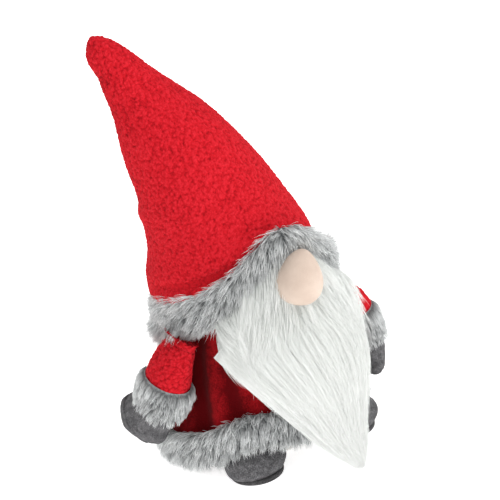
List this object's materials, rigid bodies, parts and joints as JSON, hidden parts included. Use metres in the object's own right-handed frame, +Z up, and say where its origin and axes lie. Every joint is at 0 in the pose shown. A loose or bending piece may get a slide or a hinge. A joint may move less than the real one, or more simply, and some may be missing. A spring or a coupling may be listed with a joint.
{
  "type": "plush tomte gnome",
  "caption": "Plush tabletop tomte gnome with a tall leaning hat, fur brim, egg-shaped nose, long hanging beard, flared coat, sewn arms with mittens, and stub boots.",
  "frame": {"origin": "centre of the flat base, on the surface that the figure stands on", "axes": "+Z up; the figure faces -Y; +X is the figure's left"},
  "size_m": [0.2367, 0.2098, 0.367],
  "materials": {
    "dark_felt": "brushed wool-look felt, dark heather grey",
    "sole_felt": "pressed felt, darker grey",
    "board": "grey board, hidden inside",
    "lining": "plain woven lining",
    "pellets": "loose plastic pellets",
    "filling": "loose polyester filling",
    "coat_fleece": "smooth brushed fleece, deep red",
    "red_fleece": "curly boucle fleece, bright red",
    "grey_fur": "frosted grey long-pile faux fur",
    "nose_cloth": "smooth stretch knit, pale skin tone",
    "beard_cloth": "knitted fur backing, white",
    "white_fur": "long straight white faux fur"
  },
  "bodies": {
    "figure": {"base_panel": "dark_felt", "base_stiffener": "board", "weight_bag": "lining", "weight_pellets": "pellets", "body_sack": "lining", "body_stuffing": "filling", "coat": "coat_fleece", "hem_fur": "grey_fur", "boot_right": "dark_felt", "boot_left": "dark_felt", "boot_sole_right": "sole_felt", "boot_sole_left": "sole_felt", "boot_stuffing_right": "filling", "boot_stuffing_left": "filling", "nose_cover": "nose_cloth", "nose_stuffing": "filling", "hat_shell": "red_fleece", "hat_stuffing": "filling", "brim_fur": "grey_fur"},
    "right_arm": {"sleeve_right": "red_fleece", "sleeve_stuffing_right": "filling", "cuff_right": "grey_fur", "mitten_right": "dark_felt", "mitten_stuffing_right": "filling"},
    "left_arm": {"sleeve_left": "red_fleece", "sleeve_stuffing_left": "filling", "cuff_left": "grey_fur", "mitten_left": "dark_felt", "mitten_stuffing_left": "filling"},
    "beard": {"beard_backing": "beard_cloth", "beard_pile": "white_fur"}
  },
  "joints": [
    {"name": "right_shoulder", "type": "hinge", "parent": "figure", "child": "right_arm", "pos_m": [-0.076, -0.019, 0.114], "axis": [0, 1, 0], "range_deg": [0, 60]},
    {"name": "left_shoulder", "type": "hinge", "parent": "figure", "child": "left_arm", "pos_m": [0.075, -0.019, 0.107], "axis": [0, -1, 0], "range_deg": [0, 60]},
    {"name": "beard_lift", "type": "hinge", "parent": "figure", "child": "beard", "pos_m": [0, -0.076, 0.138], "axis": [-1, 0, 0], "range_deg": [0, 60]}
  ]
}
